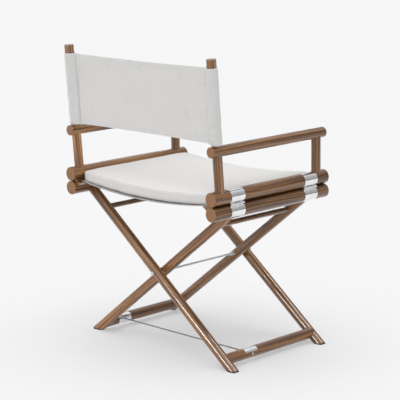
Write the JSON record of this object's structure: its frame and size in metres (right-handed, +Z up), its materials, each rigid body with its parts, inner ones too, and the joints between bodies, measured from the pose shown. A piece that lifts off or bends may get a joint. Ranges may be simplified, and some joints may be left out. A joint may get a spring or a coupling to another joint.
{
  "type": "folding director's chair",
  "caption": "Folding director's chair with crossed round wooden legs, doubled seat rails with polished hinge bands, a padded sling seat and a canvas back.",
  "frame": {"origin": "on the floor, under the middle of the chair", "axes": "+Z up; the chair faces -Y; +X is the sitter's left"},
  "size_m": [0.619, 0.4615, 0.8609],
  "materials": {
    "walnut": "gloss lacquer",
    "chrome": "polished",
    "steel": "satin",
    "foot": "matte",
    "seat_cloth": "plain weave",
    "canvas": "plain weave"
  },
  "bodies": {
    "tie_rod": {"pivot_rod": "steel", "pivot_washers": "steel", "pivot_nuts": "steel"},
    "leg_frame_outer": {"leg_rear_outer": "walnut", "leg_front_outer": "walnut", "foot_rear_right": "foot", "foot_front_right": "foot", "lower_rail_left": "walnut", "cross_bar_left": "walnut", "stretcher_right": "walnut", "saddle_right": "chrome", "cable_stop_right": "steel", "hinge_lower_rear_left": "chrome", "hinge_lower_front_left": "chrome", "hinge_pins_left": "steel"},
    "leg_frame_inner": {"leg_rear_inner": "walnut", "leg_front_inner": "walnut", "foot_rear_left": "foot", "foot_front_left": "foot", "lower_rail_right": "walnut", "cross_bar_right": "walnut", "stretcher_left": "walnut", "saddle_left": "chrome", "cable_stop_left": "steel", "hinge_lower_rear_right": "chrome", "hinge_lower_front_right": "chrome", "hinge_pins_right": "steel"},
    "side_left": {"upper_rail_left": "walnut", "arm_left": "walnut", "rear_post_left": "walnut", "back_post_left": "walnut", "front_post_left": "walnut", "seat_batten_left": "walnut", "hinge_upper_rear_left": "chrome", "hinge_upper_front_left": "chrome", "seat_pad": "seat_cloth", "back_canvas": "canvas"},
    "side_right": {"upper_rail_right": "walnut", "arm_right": "walnut", "rear_post_right": "walnut", "back_post_right": "walnut", "front_post_right": "walnut", "seat_batten_right": "walnut", "hinge_upper_rear_right": "chrome", "hinge_upper_front_right": "chrome"},
    "cable": {"cross_cable": "steel"}
  },
  "joints": [
    {"name": "fold", "type": "hinge", "parent": "tie_rod", "child": "leg_frame_outer", "pos_m": [0, 0, 0.2287], "axis": [0, -1, 0], "range_deg": [0, 35], "deforming": ["seat_pad", "back_canvas"]},
    {"name": "fold_inner", "type": "hinge", "parent": "tie_rod", "child": "leg_frame_inner", "pos_m": [0, 0, 0.2287], "axis": [0, 1, 0], "range_deg": [0, 35]},
    {"name": "side_left_hinge", "type": "hinge", "parent": "leg_frame_outer", "child": "side_left", "pos_m": [0.298, 0, 0.46625], "axis": [0, 1, 0], "range_deg": [0, 35]},
    {"name": "side_right_hinge", "type": "hinge", "parent": "leg_frame_inner", "child": "side_right", "pos_m": [-0.298, 0, 0.46625], "axis": [0, -1, 0], "range_deg": [0, 35]},
    {"name": "cable_drop", "type": "slide", "parent": "tie_rod", "child": "cable", "axis": [0, 0, -1], "range_m": [0, 0.11374], "deforming": ["cross_cable"]}
  ],
  "couplings": [
    {"joint": "fold_inner", "follows": "fold", "ratio": 1},
    {"joint": "side_left_hinge", "follows": "fold", "ratio": 1},
    {"joint": "side_right_hinge", "follows": "fold", "ratio": 1},
    {"joint": "cable_drop", "follows": "fold", "m_per_rad": 0.18538}
  ]
}
